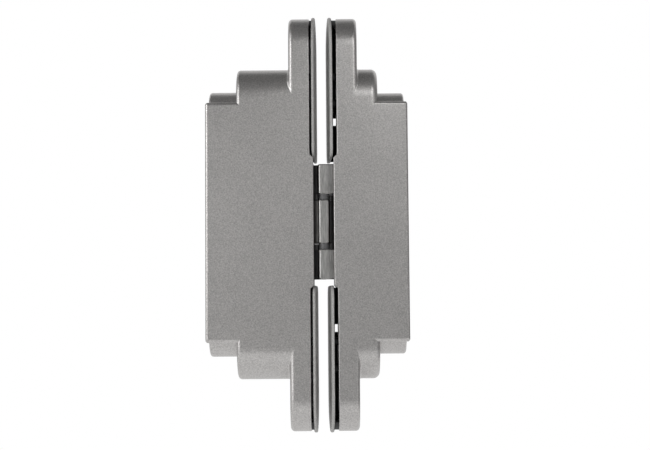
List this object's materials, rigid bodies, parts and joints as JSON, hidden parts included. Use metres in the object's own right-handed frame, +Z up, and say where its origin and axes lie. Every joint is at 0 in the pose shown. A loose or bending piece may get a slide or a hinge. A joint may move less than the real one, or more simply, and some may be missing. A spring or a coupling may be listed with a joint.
{
  "type": "concealed door hinge",
  "caption": "Concealed hinge let into door edge and frame: two zinc leaves joined by crossed folding arms, with clip-on cover plates and height and gap adjustment.",
  "frame": {"origin": "middle of the frame leaf's shoulder, the plane at the back of its flange, on the centre of its four screw holes", "axes": "+X from the closing gap into the frame leaf, +Y to the side the door opens to, +Z up along the leaf"},
  "size_m": [0.0772, 0.0261, 0.161],
  "materials": {
    "satin_zinc_casting": "satin chromed zinc die casting",
    "satin_cover_plate": "satin chromed plate with a brighter edge",
    "bare_zinc_casting": "bare zinc die casting, matt",
    "satin_arm": "satin chromed arm",
    "black_acetal": "moulded acetal, matt",
    "bearing_bronze": "sintered bronze",
    "zinc_plated_screw": "zinc plated",
    "spring_steel": "dark spring steel",
    "hardened_steel_pin": "ground"
  },
  "bodies": {
    "frame_leaf": {"frame_housing": "satin_zinc_casting", "frame_cover_upper": "satin_cover_plate", "frame_cover_lower": "satin_cover_plate", "clamp_screw_upper": "zinc_plated_screw", "clamp_screw_lower": "zinc_plated_screw"},
    "height_carriage": {"frame_carriage": "bare_zinc_casting", "frame_pivot_pin": "hardened_steel_pin", "frame_slide_guide_upper": "black_acetal", "frame_slide_guide_lower": "black_acetal"},
    "centre_link": {"centre_arm": "satin_arm", "centre_pivot_bush": "bearing_bronze", "knuckle_bush": "bearing_bronze", "centre_slide_pin": "hardened_steel_pin", "centre_slide_bush_upper": "black_acetal", "centre_slide_bush_lower": "black_acetal"},
    "fork_link": {"fork_arm": "satin_arm", "knuckle_pin": "hardened_steel_pin", "knuckle_washer_upper": "black_acetal", "knuckle_washer_lower": "black_acetal", "fork_pivot_bush_upper": "bearing_bronze", "fork_pivot_bush_lower": "bearing_bronze", "fork_slide_pin": "hardened_steel_pin", "fork_slide_bush_upper": "black_acetal", "fork_slide_bush_lower": "black_acetal"},
    "gap_carriage": {"door_carriage": "bare_zinc_casting", "door_pivot_pin": "hardened_steel_pin", "door_slide_guide_upper": "black_acetal", "door_slide_guide_lower": "black_acetal"},
    "upper_gap_screw": {"gap_screw_upper": "zinc_plated_screw", "gap_screw_clip_upper": "spring_steel"},
    "lower_gap_screw": {"gap_screw_lower": "zinc_plated_screw", "gap_screw_clip_lower": "spring_steel"},
    "door_leaf": {"door_housing": "satin_zinc_casting", "door_cover_upper": "satin_cover_plate", "door_cover_lower": "satin_cover_plate"}
  },
  "joints": [
    {"name": "frame_pivot", "type": "hinge", "parent": "height_carriage", "child": "centre_link", "pos_m": [-0.00425, 0.0062, 0], "axis": [0, 0, -1], "range_deg": [0, 100.8]},
    {"name": "knuckle_pivot", "type": "hinge", "parent": "centre_link", "child": "fork_link", "pos_m": [-0.01315, -0.0084, 0], "axis": [0, 0, -1], "range_deg": [-21.6, 0]},
    {"name": "door_pivot", "type": "hinge", "parent": "fork_link", "child": "gap_carriage", "pos_m": [-0.02205, 0.0062, 0], "axis": [0, 0, -1], "range_deg": [0, 100.8]},
    {"name": "height_adjust", "type": "slide", "parent": "frame_leaf", "child": "height_carriage", "axis": [0, 0, 1], "range_m": [-0.002, 0.002]},
    {"name": "gap_adjust", "type": "slide", "parent": "gap_carriage", "child": "door_leaf", "axis": [1, 0, 0], "range_m": [-0.001, 0.001]},
    {"name": "upper_gap_screw_turn", "type": "hinge", "parent": "gap_carriage", "child": "upper_gap_screw", "pos_m": [-0.0241, 0, 0.033], "axis": [-1, 0, 0], "range_deg": [-515.1, 515.1]},
    {"name": "lower_gap_screw_turn", "type": "hinge", "parent": "gap_carriage", "child": "lower_gap_screw", "pos_m": [-0.0241, 0, -0.033], "axis": [-1, 0, 0], "range_deg": [-515.1, 515.1]}
  ],
  "couplings": [
    {"joint": "knuckle_pivot", "follows": "frame_pivot", "ratio": -0.21429},
    {"joint": "door_pivot", "follows": "frame_pivot", "ratio": 1},
    {"joint": "upper_gap_screw_turn", "follows": "gap_adjust", "rad_per_m": 8976},
    {"joint": "lower_gap_screw_turn", "follows": "gap_adjust", "rad_per_m": 8976}
  ]
}
